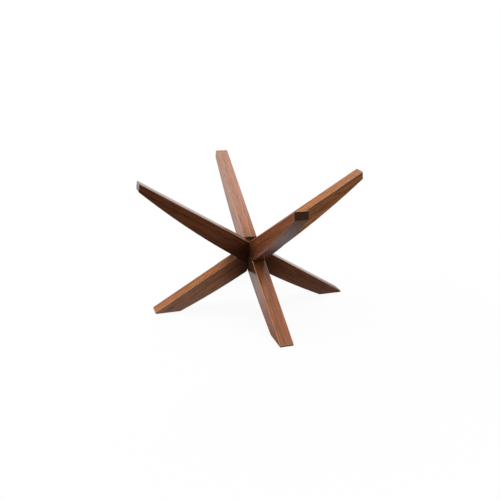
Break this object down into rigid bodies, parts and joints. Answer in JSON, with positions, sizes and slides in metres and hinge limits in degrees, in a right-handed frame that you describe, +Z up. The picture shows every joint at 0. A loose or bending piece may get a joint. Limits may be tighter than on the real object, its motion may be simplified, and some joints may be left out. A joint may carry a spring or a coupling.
{
  "type": "wooden star puzzle stand",
  "caption": "Open star of sloping walnut bars with curved bellies, half-lapped in pairs into crosses that slot together and lift apart; stands flat and cradles a bowl.",
  "frame": {"origin": "on the floor, straight under the crossing of the bars", "axes": "+Z up; the saddle cross lies in the XZ plane and the base cross in the YZ plane, with its near arms towards -Y"},
  "size_m": [0.326, 0.326, 0.189],
  "materials": {
    "walnut": "satin lacquer over brown-stained walnut"
  },
  "bodies": {
    "base_cross": {"base_bar_left": "walnut", "base_bar_right": "walnut"},
    "saddle_cross": {"saddle_bar_near": "walnut", "saddle_bar_far": "walnut"}
  },
  "joints": [
    {"name": "saddle_lift", "type": "slide", "parent": "base_cross", "child": "saddle_cross", "axis": [0, 0, 1], "range_m": [0, 0.2]}
  ]
}
